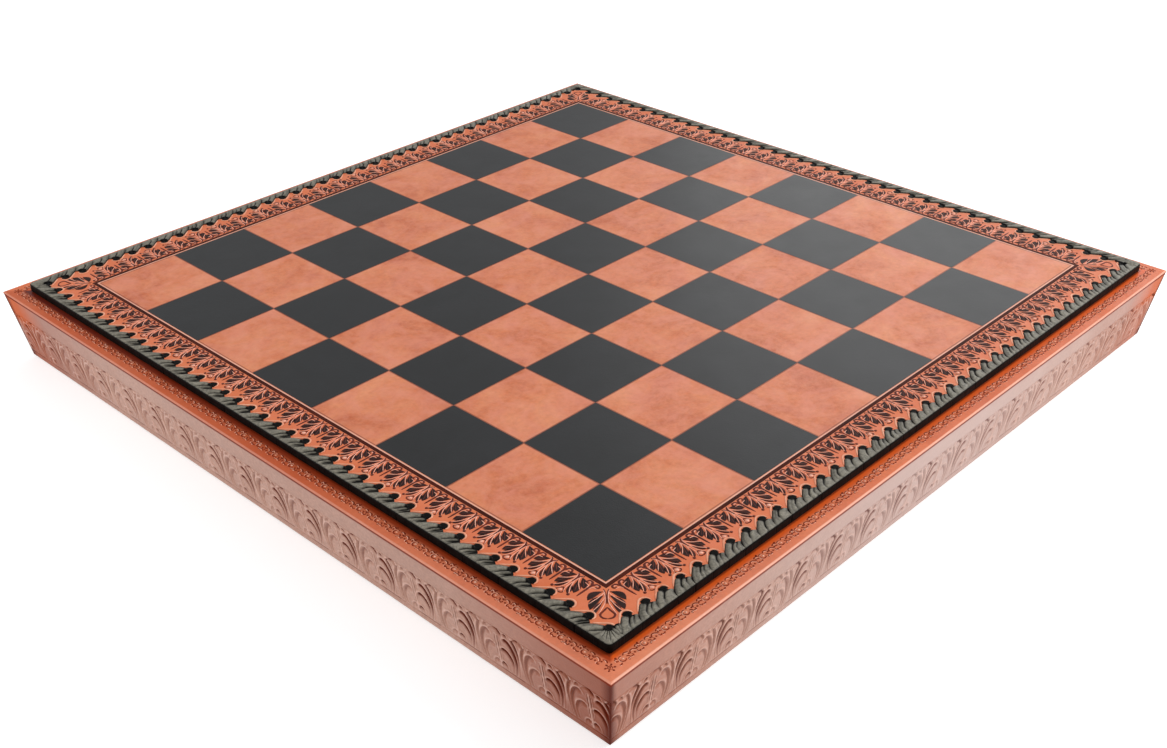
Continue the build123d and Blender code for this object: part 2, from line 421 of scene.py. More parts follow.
def corner_tone(tree, colour):
    """Dark band down each corner, painted shade that darkens the leather towards the corners, a painted
    sheen on the front side and a painted shadow along the foot.
    """
    x, y, z = axes(tree)
    nearer = calc(tree, "MINIMUM", calc(tree, "ABSOLUTE", x), calc(tree, "ABSOLUTE", y))
    gap = calc(tree, "SUBTRACT", reach(tree), nearer)
    front = on_side(tree, y)
    left = on_side(tree, x)
    speckle = spread(tree, noise(tree, 700.0, 3.0, 0.7), 0.42, 0.62, 0.0, 0.4)
    colour = blended(tree, speckle, colour, rgb(146, 98, 80))
    # Painted grey sheen on the front side, away from the corners.
    front_sheen = product(tree, front, zone(tree, gap, 40, 200, 0.0, 0.7))
    colour = blended(tree, front_sheen, colour, rgb(188, 160, 152))
    # Painted shade that darkens the leather towards each corner, weaker on the front side.
    corner_shade = product(tree, remainder(tree, front, 0.35), zone(tree, gap, 0, 100, 0.95, 0.0))
    colour = stained_and_shaded(tree, corner_shade, colour, rgb(150, 74, 44), dull=0.65)
    # More painted shade on the left side near the corners.
    shade = product(tree, left, zone(tree, gap, 0, 50, 0.4, 0.08))
    colour = stained_and_shaded(tree, shade, colour, rgb(100, 42, 24), dull=0.4)
    far = zone(tree, calc(tree, "ADD", x, y), -300, -100)
    far = product(tree, far, zone(tree, gap, 12, 40, 0.9, 0.0), zone(tree, z, 22, 30, 0.3, 1.0))
    colour = stained_and_shaded(tree, far, colour, rgb(196, 92, 42), dull=1.0)
    # Painted shadow along the foot, where the box stands on the floor.
    colour = blended(tree, zone(tree, z, 0.3, 1.6, 0.6, 0.0), colour, rgb(96, 70, 58))
    width = zone(tree, z, 0, 40, 6.5 * MM, 3 * MM)
    wider = product(tree, left, zone(tree, z, 20, 40, 0.0, 3 * MM))
    crease = calc(tree, "SUBTRACT", 1.0, calc(tree, "DIVIDE", gap, calc(tree, "ADD", width, wider)))
    return stained_and_shaded(tree, spread(tree, crease, 0.0, 0.9, 0.0, 0.9), colour, rgb(84, 28, 16), dull=1.0)


def strip_tone(tree, colour):
    """Painted shade in the crease under the lip."""
    _, _, z = axes(tree)
    colour = corner_tone(tree, colour)
    # Painted shade under the lip, without shine.
    crease = zone(tree, z, LEDGE_TOP - 2.7, LEDGE_TOP - 2.0, 0.0, 0.92)
    return stained_and_shaded(tree, crease, colour, rgb(118, 40, 20), dull=1.0)


def band_tone(tree, colour):
    """Stain in the hollows with painted shade, darker on one side of each motif and lighter on the front
    side, and a painted highlight on the ridges.
    """
    relief = relief_value(tree)
    _, y, _ = axes(tree)
    colour = corner_tone(tree, colour)
    # Stain and painted shade in the hollows; the one-sided weight comes with the relief values.
    hollow = spread(tree, relief, -0.1, -0.55, 0.0, 0.92)
    deep = product(tree, hollow, remainder(tree, on_side(tree, y), 0.3))
    colour = stained_and_shaded(tree, deep, colour, rgb(96, 30, 14), dull=0.95)
    # Painted highlight on the ridges.
    ridge_highlight = spread(tree, relief, 0.08, 0.35, 0.0, 0.45)
    return blended(tree, ridge_highlight, colour, rgb(226, 184, 168))


def lace_tone(tree, colour):
    """Painted greyish highlight on the crests of black lace, and a dull, black edge."""
    dark = spread(tree, relief_value(tree), 0.4, 0.95, 1.0, 0.0)
    # Painted highlight on the crests, brighter in patches.
    highlight_patches = spread(tree, noise(tree, 420.0, 4.0, 0.7, distortion=1.5), 0.38, 0.62)
    crest_highlight = blended(tree, highlight_patches, rgb(96, 92, 80), rgb(138, 132, 117))
    return stained_and_shaded(tree, dark, crest_highlight, colour, dull=0.92)


def grid_gap(tree, socket):
    """Distance from the nearest square edge along one axis, in metres."""
    pitch = SQUARE * MM
    place = calc(tree, "MODULO", calc(tree, "ADD", socket, 10.5 * pitch), pitch)
    return calc(tree, "ABSOLUTE", calc(tree, "SUBTRACT", place, pitch / 2))


def field_tone(tree, colour):
    """Fine speckle, stain bled round the dark squares and a pale margin beside the field line."""
    x, y, _ = axes(tree)
    out = reach(tree)
    speckle = spread(tree, noise(tree, 170.0, 4.0, 0.7), 0.3, 0.7, 0.0, 0.45)
    colour = blended(tree, speckle, colour, rgb(226, 150, 116))
    flush = spread(tree, noise(tree, 48.0, 5.0, 0.7, distortion=1.0), 0.42, 0.66, 0.0, 0.5)
    colour = blended(tree, flush, colour, rgb(222, 140, 118))
    gap = calc(tree, "MINIMUM", grid_gap(tree, x), grid_gap(tree, y))
    in_field = zone(tree, out, FIELD_HALF, FIELD_HALF - 0.2)
    bleed = product(tree, zone(tree, gap, 0.4, 0.9, 0.75, 0.0), in_field)
    colour = blended(tree, bleed, colour, rgb(112, 48, 28))
    border = zone(tree, out, LINE_OUT - 0.5, LINE_OUT + 0.5, 0.0, 0.6)
    colour = blended(tree, border, colour, rgb(214, 100, 46))
    margin = product(tree, zone(tree, out, FIELD_HALF + 0.2, FIELD_HALF + 0.4),
                     zone(tree, out, FIELD_HALF + 1.0, FIELD_HALF + 0.8, 0.0, 0.6))
    return blended(tree, margin, colour, rgb(240, 196, 176))


FIELD_TANS = [(0.30, rgb(180, 84, 44)), (0.50, rgb(204, 111, 66)), (0.70, rgb(218, 136, 92))]
LEDGE_TANS = [(0.30, rgb(200, 92, 46)), (0.50, rgb(214, 104, 56)), (0.72, rgb(224, 122, 76))]
field_tan = leather("field_tan_leather", FIELD_TANS, scale=34.0, extra=field_tone)
# Hole rims: the pale tan is a painted highlight on the puckered edges.
rim_highlight_tan = leather("puckered_leather_highlight", [(0.3, rgb(218, 134, 98)), (0.7, rgb(238, 174, 142))], scale=90.0)
line_dark = leather("field_line_leather", [(0.35, rgb(52, 14, 5)), (0.7, rgb(82, 30, 16))], scale=60.0,
                    rough=(0.45, 0.55), grain_strength=0.2, level=0.08)
ledge_tan = leather("ledge_tan_leather", LEDGE_TANS, scale=18.0, extra=ledge_tone, rough=(0.34, 0.5))
strip_tan = leather("strip_tan_leather", [(0.3, rgb(166, 120, 100)), (0.7, rgb(184, 138, 118))],
                    scale=14.0, extra=strip_tone, rough=(0.32, 0.4), level=0.5)
band_tan = leather("pressed_tan_leather", [(0.3, rgb(176, 128, 108)), (0.7, rgb(194, 148, 128))],
                   scale=16.0, extra=band_tone, rough=(0.34, 0.44), level=0.5)
black = leather("black_leather", [(0.35, rgb(9, 10, 11)), (0.7, rgb(20, 21, 23))], scale=30.0,
                rough=(0.33, 0.37), grain_strength=0.2)
print_dark = leather("stained_petals", [(0.3, rgb(22, 9, 7)), (0.7, rgb(52, 30, 26))], scale=160.0,
                     rough=(0.45, 0.6), grain_strength=0.1, level=0.15)
print_brown = leather("stained_lines", [(0.3, rgb(70, 16, 4)), (0.7, rgb(112, 34, 10))], scale=160.0,
                      rough=(0.45, 0.6), grain_strength=0.1, level=0.25)
print_scroll = leather("stained_scrolls", [(0.3, rgb(112, 30, 6)), (0.7, rgb(152, 56, 22))], scale=160.0,
                       rough=(0.45, 0.6), grain_strength=0.1, level=0.15)
# Pale ridges of the palmette border: painted highlights on the embossed lines.
pale_ridge = leather("embossed_ridge_highlights", [(0.3, rgb(232, 142, 110)), (0.7, rgb(248, 186, 162))], scale=120.0,
                     rough=(0.34, 0.46), grain_strength=0.1)
# Pale ridges beside the ledge scrolls: painted highlights.
ledge_glint = leather("embossed_scroll_highlights", [(0.3, rgb(244, 160, 124)), (0.7, rgb(252, 200, 176))],
                      scale=120.0, rough=(0.45, 0.6), grain_strength=0.1, level=0.2)
lace = leather("lace_leather", [(0.35, rgb(8, 7, 7)), (0.7, rgb(20, 18, 16))], scale=240.0,
               rough=(0.36, 0.5), grain_strength=0.3, extra=lace_tone, level=0.5)


def wood(name, light, dark):
    """Stained wood with its fibres along X."""
    mat, tree, shader = material(name)
    place = tree.nodes.new("ShaderNodeTexCoord")
    stretch = tree.nodes.new("ShaderNodeMapping")
    stretch.inputs["Scale"].default_value = (6.0, 120.0, 120.0)
    tree.links.new(place.outputs["Object"], stretch.inputs["Vector"])
    fibres = tree.nodes.new("ShaderNodeTexNoise")
    fibres.inputs["Scale"].default_value = 3.0
    fibres.inputs["Detail"].default_value = 6.0
    tree.links.new(stretch.outputs[0], fibres.inputs["Vector"])
    colour = ramp(tree, fibres.outputs["Fac"], [(0.35, dark), (0.65, light)])
    tree.links.new(colour, shader.inputs["Base Color"])
    shader.inputs["Roughness"].default_value = 0.55
    bumped(tree, shader, fibres.outputs["Fac"], 0.2, 0.2)
    return mat


def felt(name, dark, light):
    """Short, fuzzy felt."""
    mat, tree, shader = material(name)
    fuzz = noise(tree, 900.0, 5.0, 0.7)
    tree.links.new(ramp(tree, fuzz, [(0.35, dark), (0.65, light)]), shader.inputs["Base Color"])
    shader.inputs["Roughness"].default_value = 0.95
    shader.inputs["Sheen Weight"].default_value = 0.25
    bumped(tree, shader, fuzz, 0.5, 0.4)
    return mat


boards = wood("stained_boards", rgb(150, 96, 58), rgb(104, 60, 34))
brown_felt = felt("brown_felt", rgb(58, 34, 26), rgb(86, 54, 42))

FINISH = {
    "playing_leather": field_tan,
    "dark_squares": black,
    "field_line": line_dark,
    "ledge_cover": ledge_tan,
    "plain_strip": strip_tan,
    "pressed_band": band_tan,
    "lacing": lace,
    "lid_core": boards,
    "lid_batten": boards,
    "base_panel": boards,
    "wall_board": boards,
    "rim_rail": boards,
    "divider_across": brown_felt,
    "divider_along": brown_felt,
    "base_felt": brown_felt,
    "floor_felt": brown_felt,
    "lid_felt": brown_felt,
    "wall_lining": brown_felt,
}
for node_name, node_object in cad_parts.items():
    finish = FINISH.get(node_name) or FINISH[node_name.rsplit("_", 1)[0]]
    if not node_object.material_slots:
        node_object.data.materials.append(finish)
    for node_slot in node_object.material_slots:
        node_slot.material = finish


# Lacing: one whip stitch from each hole over the edge and back under the lid. The paths are the top and
# the underside of a lace, from the hole outwards, as (out, height above the leather).

TOP_PATH = [
    (-0.2, -1.1), (0.0, -0.6), (0.25, -0.1), (0.6, 0.35), (1.1, 0.7), (1.8, 0.92), (2.7, 1.0), (3.8, 1.0),
    (4.9, 1.0), (6.0, 0.98), (7.0, 0.94), (7.6, 0.84), (7.95, 0.6), (8.15, 0.15), (8.2, -0.5), (8.2, -1.5),
    (8.2, -2.6), (8.18, -3.3), (8.0, -3.85), (7.4, -4.2), (6.4, -4.25), (1.5, -4.2),
]
BASE_PATH = [
    (0.6, -1.2), (0.7, -0.8), (0.8, -0.3), (0.95, -0.08), (1.3, -0.05), (1.9, -0.05), (2.7, -0.05),
    (3.8, -0.05), (4.9, -0.05), (5.9, -0.05), (6.6, -0.05), (6.8, -0.1), (6.8, -0.25), (6.8, -0.5),
    (6.8, -0.9), (6.8, -1.6), (6.8, -2.6), (6.8, -3.1), (6.8, -3.4), (6.6, -3.5), (6.0, -3.5), (1.5, -3.5),
]
PATH_STEPS = 2
top_path = smooth_line(TOP_PATH, PATH_STEPS)
base_path = smooth_line(BASE_PATH, PATH_STEPS)

# Where a lace is past the edge, and how the painted highlight on its crest fades on the way there
PAST_EDGE = 0.6
CREST_AT = (0, 0.5, 0.56, PAST_EDGE)
CREST = (1, 1, 0.7, 0)
LEVELLED = (0.36, 0.53)

# By the distance out from a hole: both edges of its stitch along the side, and the slant across it
STITCH_ACROSS = 23
EDGE_OUT = (0.5, 1.5, 2.5, 3.5, 4.5, HOLE_INSET)
EDGE_LEFT = (-2.0, -3.3, -5.8, -8.1, -9.1, -11.2)
EDGE_RIGHT = (1.8, 3.4, 3.6, 3.35, 2.4, 0.25)
EDGE_SLANT = (0.75, 0.55, 0.2, 0.05, 0.0, 0.0)

# Laces gathered round a corner
FAN_ACROSS = 61
FAN_CREASES = (0.2, 0.38, 0.56, 0.74, 0.88)
FAN_RADIUS = 0.8
FAN_OVERLAP = 0.58
FAN_REACH = CORE_HALF - HOLE_HALF

# Lace bunched up beside a corner hole: how far it runs along the side, by the distance out
BUNCH_RINGS = 12
BUNCH_ACROSS = 15
BUNCH_BEFORE = 0.6
BUNCH_OUT = (0.1, 0.7, 1.6, 3.4, 5.7, 6.9)
BUNCH_AFTER = (2.2, 4.5, 5.5, 4.3, 2.2, 1.6)

PLUG_AROUND = 12


def lace_steps():
    """How far along a lace each step is, from 0 to 1, with the lace's top and underside there."""
    for t, top, base in zip(np.linspace(0, 1, len(top_path)), top_path, base_path):
        yield t, top, base


def fold(u, place, depth, width):
    """Sharp crease across a lace."""
    return 1 - depth * np.exp(-np.abs(u - place) / width)


def lace_profile(u, t, seed, folds):
    """Height of the lace from 0 to 1 at u across it and t along it."""
    across = np.clip(np.abs(2 * u), 0, 1)
    puff = (1 - across ** 3.0) ** 0.55
    flat = 1 - np.interp(t, [0.48, 0.56], [0.4, 0.06]) * across ** 18
    height = puff + (flat - puff) * np.interp(t, LEVELLED, [0, 1])
    for place, depth, end in folds:
        wander = place + 0.03 * math.sin(14 * t + seed)
        fade = np.interp(t, [0, end - 0.05, end + 0.03, 0.54, PAST_EDGE], [1, 0.95, 0.45, 0.25, 0.03])
        height = height * fold(u, wander, depth * fade, np.interp(t, [0.15, 0.28, end], [0.1, 0.055, 0.04]))
    ribs = 0.03 * np.sin(27 * u + 3 * t + seed) + 0.035 * np.sin(49 * u - 5 * t + 2.1 * seed)
    return np.clip(height * (1 + ribs * np.interp(t, [0.4, 0.55], [1, 0.3])), 0, 1)


def stitch_folds(rope):
    """Creases of one stitch, as (place across, depth, where it ends): two in a rope-like one."""
    if rope:
        folds = [(0.08 + rng.normal(0, 0.02), 0.97, 0.47), (0.35 + rng.normal(0, 0.02), 0.85, 0.45)]
    else:
        folds = [(-0.04 + rng.normal(0, 0.03), 0.97, 0.42 + rng.normal(0, 0.02))]
        if rng.random() < 0.35:
            folds.append((rng.uniform(0.16, 0.26), 0.8, 0.4))
    if rng.random() < 0.4:
        folds.append((rng.uniform(-0.36, -0.24), 0.3, 0.5))
    return folds


def regular_stitch(piece, turn, hole, seed, rope):
    """One slanted stitch from the hole at s = hole."""
    u = np.linspace(-0.5, 0.5, STITCH_ACROSS)
    folds = stitch_folds(rope)
    slack = rng.normal(0, 0.18)
    rings = []
    values = []
    for t, (top_out, top_z), (base_out, base_z) in lace_steps():
        out = HOLE_INSET
        if t < PAST_EDGE:
            out = max(base_out, min(0.5 * (top_out + base_out), HOLE_INSET))
        left = np.interp(out, EDGE_OUT, EDGE_LEFT) + slack * min(1, out / 4)
        right = np.interp(out, EDGE_OUT, EDGE_RIGHT) + slack * min(1, out / 4)
        across = (right - left) * u
        slant = np.interp(out, EDGE_OUT, EDGE_SLANT) * across * (0.55 if rope else 1)
        height = lace_profile(u, t, seed, folds)
        s = hole + 0.5 * (left + right) + across
        d = HOLE_HALF + base_out + (top_out - base_out) * height + slant
        z = LEATHER_TOP + base_z + (top_z - base_z) * height
        rings.append(np.column_stack([s, d, z]))
        # Close to the hole the painted highlight fades, so the lace stays black there like the shade in the
        # hole.
        clear = np.interp(np.hypot(s - hole - 0.5, d - HOLE_HALF), (1.9, 3.0), (0.1, 1))
        values.append(height * clear * np.interp(t, CREST_AT, CREST))
    faces = tube_faces(len(rings), STITCH_ACROSS)
    piece.add(to_world(np.concatenate(rings), turn), faces, np.concatenate(values))


def fan_edge():
    """Points on the edge of the core round a corner, from its hole, and the way outwards there."""
    straight = FAN_REACH - FAN_RADIUS + FAN_OVERLAP
    arc = FAN_RADIUS * math.pi / 2
    along = np.linspace(0, 1, FAN_ACROSS) * (2 * straight + arc) - straight
    angle = np.clip(along / FAN_RADIUS, 0, math.pi / 2)
    outwards = np.column_stack([np.sin(angle), np.cos(angle)])
    runs = np.column_stack([np.minimum(along, 0), -np.maximum(along - arc, 0)])
    return FAN_REACH - FAN_RADIUS + FAN_RADIUS * outwards + runs, outwards


def corner_fan(piece, turn, seed):
    """Gathered laces from the corner hole at the far end of a side, round the corner."""
    w = np.linspace(0, 1, FAN_ACROSS)
    puff = (1 - np.abs(2 * w - 1) ** 6) ** 0.55
    edge, outwards = fan_edge()
    rings = []
    values = []
    for t, (top_out, top_z), (base_out, base_z) in lace_steps():
        fade = np.interp(t, [0, 0.2, 0.34, 0.48, PAST_EDGE, 1], [1, 1, 0.7, 0.25, 0.08, 0.05])
        height = puff + (1 - puff) * np.interp(t, LEVELLED, [0, 1])
        for crease in FAN_CREASES:
            wander = crease + 0.012 * math.sin(7 * t + seed + 9 * crease)
            height = height * fold(w, wander, 0.85 * fade, 0.032 - 0.03 * t)
        height *= 1 + (0.05 * np.sin(70 * w + seed) + 0.03 * np.sin(131 * w + 4 * t)) * fade
        height = np.clip(height, 0, 1)
        out = base_out + (top_out - base_out) * height
        inside = np.minimum(out, FAN_REACH) / FAN_REACH
        beyond = np.maximum(out - FAN_REACH, 0)
        place = edge * inside[:, None] + outwards * beyond[:, None]
        z = LEATHER_TOP + base_z + (top_z - base_z) * height
        rings.append(np.column_stack([HOLE_HALF + place, z]))
        # Close to the corner hole the painted highlight fades, so the lace stays black there like the shade
        # in the hole.
        clear = np.interp(np.hypot(place[:, 0] - 0.3, place[:, 1] - 0.3), (1.7, 2.8), (0.1, 1))
        values.append(height * clear * np.interp(t, CREST_AT, CREST))
    faces = tube_faces(len(rings), FAN_ACROSS)
    piece.add(to_world(np.concatenate(rings), turn), faces, np.concatenate(values))


def corner_bunch(piece, turn, seed):
    """Lace bunched up between the corner hole at the near end of a side and the first stitch."""
    u = np.linspace(-0.5, 0.5, BUNCH_ACROSS)
    loop = np.concatenate([u, u[-2:0:-1]])
    flat = np.zeros(len(loop) - BUNCH_ACROSS)
    low = np.concatenate([np.full(BUNCH_ACROSS, -0.05), flat - 0.3])
    rings = []
    values = []
    for t in np.linspace(0, 1, BUNCH_RINGS):
        out = BUNCH_OUT[0] + (BUNCH_OUT[-1] - BUNCH_OUT[0]) * t
        length = BUNCH_BEFORE + np.interp(out, BUNCH_OUT, BUNCH_AFTER)
        height = (1 - np.abs(2 * u) ** 3) ** 0.5 * np.interp(t, (0, 0.2, 0.8, 1), (0.1, 1, 1, 0.3))
        height = height * fold(u, -0.1 + 0.05 * math.sin(seed + 4 * t), 0.9 - 0.8 * t, 0.08)
        height = height * fold(u, 0.2, 0.6 - 0.5 * t, 0.06)
        shape = np.concatenate([height, flat])
        rings.append(np.column_stack([
            -HOLE_HALF - BUNCH_BEFORE + length * (loop + 0.5),
            np.full(loop.shape, HOLE_HALF + out),
            LEATHER_TOP + low + 0.95 * shape,
        ]))
        # Close to the hole the painted highlight fades, so the lace stays black there.
        values.append(shape * np.interp(out, (1.2, 2.4), (0.1, 1)))
    faces = tube_faces(BUNCH_RINGS, len(loop))
    piece.add(to_world(np.concatenate(rings), turn), faces, np.concatenate(values))


def hole_plugs(piece, turn, size):
    """Crumpled lace that comes up through the holes, black and without painted highlight, so it also stands
    for the shade in the holes.
    """
    angles = np.linspace(0, 2 * np.pi, PLUG_AROUND, endpoint=False)
    outline = ((1.5, -1.1), (1.5, -0.4), (size, -0.05), (size, 0.16), (size - 0.5, 0.3), (0.6, 0.2))
    for count in range(1, STITCHES + 1):
        rings = []
        for radius, z in outline:
            ragged = radius + 0.14 * rng.standard_normal(PLUG_AROUND) * (z > -0.2)
            rings.append(np.column_stack([
                -HOLE_HALF + count * PITCH + 0.3 + 1.08 * ragged * np.cos(angles),
                HOLE_HALF - 0.2 + 0.9 * ragged * np.sin(angles),
                np.full(PLUG_AROUND, LEATHER_TOP + z),
            ]))
        piece.add(to_world(np.concatenate(rings), turn), tube_faces(len(rings), PLUG_AROUND))


def edge_backing(piece, turn):
    """Dark lace that fills the narrow gaps behind the stitches."""
    half = LID_HALF - 0.2
    inner = CORE_HALF - 0.02
    low = LID_UNDER - 0.1
    high = LEATHER_TOP + 0.05
    end = HOLE_HALF + 4.5
    profile = (
        (inner, low), (half - 0.3, low), (half, low + 0.4),
        (half, high - 0.8), (half - 0.5, high), (inner, high),
    )
    points = [(s, d, z) for s in (-end, end) for d, z in profile]
    piece.add(to_world(points, turn), tube_faces(2, len(profile)))


for turn, side in enumerate(SIDES):
    laced = Piece()
    rope = side in ("left", "right")
    for count in range(1, STITCHES + 1):
        regular_stitch(laced, turn, -HOLE_HALF + count * PITCH, rng.uniform(0, 6), rope)
    corner_fan(laced, turn, rng.uniform(0, 6))
    corner_bunch(laced, turn, rng.uniform(0, 6))
    edge_backing(laced, turn)
    hole_plugs(laced, turn, 2.35 if rope else 2.05)
    laced_object = laced.make("laced_edge_" + side, "lid", "lace_leather", lace)
    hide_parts("lacing_" + side)


def lay(piece, shapes, turn, s, d, lift=0.0, angle=0.0):
    """Shapes in a motif's plane laid on the leather at (s, d), turned by an angle."""
    cosine = math.cos(angle)
    sine = math.sin(angle)
    for points, faces in shapes:
        a = points[:, 0] * cosine + points[:, 1] * sine
        b = -points[:, 0] * sine + points[:, 1] * cosine
        piece.add(to_world(np.column_stack([s + a, d + b, lift + points[:, 2]]), turn), faces)


# Puckered leather round the lace holes; its pale tan is a painted highlight on the raised edge

RIM_LINE = [
    (2.75, 1.0), (2.6, -1.0), (1.4, -2.5), (-0.4, -2.9),
    (-2.0, -2.1), (-3.6, -0.7), (-5.2, 0.7), (-6.7, 2.0),
]
for turn, side in enumerate(SIDES):
    rims = Piece()
    for count in range(1, STITCHES + 1):
        lip = stroke(smooth_line(RIM_LINE, 4), 0.9 + 0.2 * rng.random(), 0.28)
        lay(rims, [lip], turn, -HOLE_HALF + count * PITCH, HOLE_HALF, LEATHER_TOP)
    rims.make("hole_rims_" + side, "lid", "tan_leather", rim_highlight_tan)


# Palmette border, stained and embossed in the leather between the field line and the lacing; its pale
# ridges are painted highlights

PALM_PERIOD = 15.8
PALMS = 25

# Leaves of half a palmette, as (root, tip, width, bend), and of half a corner palmette
PETALS = (
    ((-1.5, 1.6), (-6.9, 6.6), 2.5, 0.45),
    ((-1.2, 4.2), (-5.6, 11.4), 2.7, 0.6),
    ((-0.8, 7.6), (-3.7, 13.4), 1.8, 0.35),
)
CORNER_PETALS = (
    ((-1.3, 2.2), (-8.0, 7.6), 2.7, 1.3),
    ((-1.2, 4.8), (-7.2, 13.6), 2.9, 1.2),
    ((-1.4, 8.2), (-5.4, 16.4), 1.6, 0.7),
)


def draw(group, flip, shape, width=None, rise=0.1, taper=True):
    """Add an outline as a plate or, with a width, a line as a raised strip; flip mirrors it."""
    shape = mirrored(shape) if flip else np.asarray(shape, float)
    if width is None:
        group.append(plate(shape[::-1], rise))
    else:
        group.append(stroke(smooth_line(shape), width, rise, taper=taper))


def motif_palmette():
    """Dark leaves, brown lines and pale ridges (painted highlights) of one palmette; b is the distance from
    the field line.
    """
    dark = []
    brown = []
    pale = []
    for flip in (False, True):
        for root, tip, width, bend in PETALS:
            draw(dark, flip, leaf(root, tip, width, bend), rise=0.09)
            draw(brown, flip, leaf(root, tip, width + 0.9, bend), rise=0.05)
            draw(brown, flip, leaf(root, tip, 0.35, bend - 0.3), rise=0.11)
        draw(pale, flip, [(-0.8, 2.2), (-2.5, 5.1), (-6.2, 8.4)], 0.5, 0.26)
        draw(pale, flip, [(-0.6, 5.4), (-2.0, 9.3), (-4.5, 13.1)], 0.5, 0.26)
        draw(pale, flip, [(-1.6, 0.9), (-0.7, 3.4), (-0.55, 9.0), (-1.1, 12.0), (-2.2, 14.0)], 0.45, 0.24)
        draw(brown, flip, [(-1.7, 0.4), (-0.4, 2.4), (-0.25, 6.4)], 1.2, 0.12)
        base = [(0, 11.4), (-0.9, 12.3), (-1.8, 13.6), (-1.4, 14.7), (0, 15.1)]
        draw(brown, flip, base, 0.75, 0.12, taper=False)
        draw(brown, flip, disc((-4.6, 13.6), 0.75))
    pale.append(plate(disc((0, 13.5), 0.95), 0.2))
    return dark, brown, pale


def motif_stem():
    """Thin stem with a pair of volutes, between two palmettes."""
    brown = [stroke(smooth_line([(0, 1.5), (0, 5), (0, 12.0)]), 1.15, 0.1)]
    pale = []
    for flip in (False, True):
        curl = [(-0.1, 3.8), (-0.7, 2.0), (-1.7, 0.8), (-2.9, 0.9), (-3.3, 2.0), (-2.6, 2.8), (-1.9, 2.3)]
        draw(brown, flip, curl, 1.0, 0.12)
        draw(brown, flip, [(0, 3.0), (-0.6, 1.6), (-1.4, 0.5)], 1.0, 0.12)
        draw(pale, flip, [(-0.55, 5.4), (-1.0, 3.8), (-2.0, 3.4), (-3.4, 3.2)], 0.45, 0.2)
        draw(pale, flip, [(-1.3, 2.1), (-2.0, 1.5), (-2.6, 1.8)], 0.5, 0.2)
    return [], brown, pale


def motif_corner():
    """Larger palmette on the diagonal; b runs outwards from the corner of the field line."""
    dark = []
    brown = []
    pale = []
    for flip in (False, True):
        for root, tip, width, bend in CORNER_PETALS:
            draw(dark, flip, leaf(root, tip, width, bend), rise=0.09)
            draw(brown, flip, leaf(root, tip, width + 0.8, bend), rise=0.05)
        draw(pale, flip, [(-0.7, 2.6), (-3.4, 6.0), (-7.8, 10.2)], 0.45, 0.22)
        draw(pale, flip, [(-0.9, 6.2), (-3.0, 10.4), (-6.4, 15.0)], 0.45, 0.22)
        draw(pale, flip, [(-1.2, 1.2), (-0.7, 4.4), (-0.8, 9.2), (-2.0, 12.6), (-3.9, 16.8)], 0.45, 0.22)
        draw(brown, flip, [(-1.1, 0.5), (-0.4, 4.2), (-0.3, 10.0)], 0.8, 0.12)
        draw(brown, flip, [(0, 12.2), (-1.4, 14.2), (-3.0, 16.6), (-2.2, 18.6), (0, 19.4)], 1.1, 0.12)
    return dark, brown, pale


palmette = motif_palmette()
stem = motif_stem()
corner = motif_corner()
for turn, side in enumerate(SIDES):
    groups = [Piece(), Piece(), Piece()]
    for kind, piece in enumerate(groups):
        for count in range(PALMS):
            lay(piece, palmette[kind], turn, (count - PALMS // 2) * PALM_PERIOD, LINE_OUT, LEATHER_TOP)
        if stem[kind]:
            for count in range(PALMS + 1):
                lay(piece, stem[kind], turn, (count - PALMS / 2) * PALM_PERIOD, LINE_OUT, LEATHER_TOP)
        lay(piece, corner[kind], turn, LINE_OUT, LINE_OUT, LEATHER_TOP, angle=math.radians(45))
    groups[0].make("petals_" + side, "lid", "tan_leather", print_dark, smooth=False)
    groups[1].make("stems_" + side, "lid", "tan_leather", print_brown)
    groups[2].make("ridges_" + side, "lid", "tan_leather", pale_ridge)


# Fine scroll band on the ledge round the lid

LEDGE_MOTIFS = 36
LEDGE_MIDDLE = LID_HALF + 4.8
LEDGE_END = LEDGE_MIDDLE - 4.0


def circle_arc(centre, radius, start, end, steps=9):
    """Points of an arc between two angles in degrees."""
    angles = np.radians(np.linspace(start, end, steps))
    return np.column_stack([centre[0] + radius * np.cos(angles), centre[1] + radius * np.sin(angles)])


def motif_ledge():
    """Rosette, curling stems and dots of one repeat of the ledge band, and the pale ridges beside them,
    which are painted highlights.
    """
    shapes = []
    ridges = []
    lines = [
        circle_arc((0, 0), 1.55, 30, 300),
        circle_arc((-2.4, -0.9), 0.75, 60, 330),
        circle_arc((2.4, 0.9), 0.75, 240, 510),
        circle_arc((6.3, 0.5), 1.7, 185, 355),
        circle_arc((4.3, 1.2), 0.6, -60, 180),
        circle_arc((8.3, 1.2), 0.6, 0, 240),
        smooth_line([(1.4, -1.2), (2.8, -1.9), (4.4, -1.3)], 4),
        smooth_line([(8.2, -1.3), (9.8, -1.9), (11.1, -1.2)], 4),
        smooth_line([(-1.8, 1.5), (-2.8, 2.0), (-3.6, 1.7)], 4),
    ]
    for line in lines:
        shapes.append(stroke(line, 0.75, 0.1))
        ridges.append(stroke(line[len(line) // 3:] + np.array((-0.42, 0.38)), 0.34, 0.14))
    for centre in ((6.3, 0.9), (4.0, -0.3), (8.7, -0.3), (1.9, 2.0), (-1.9, -2.1)):
        shapes.append(plate(disc(centre, 0.45), 0.1))
    ridges.append(plate(disc((0.1, 0.1), 0.55), 0.14))
    return shapes, ridges


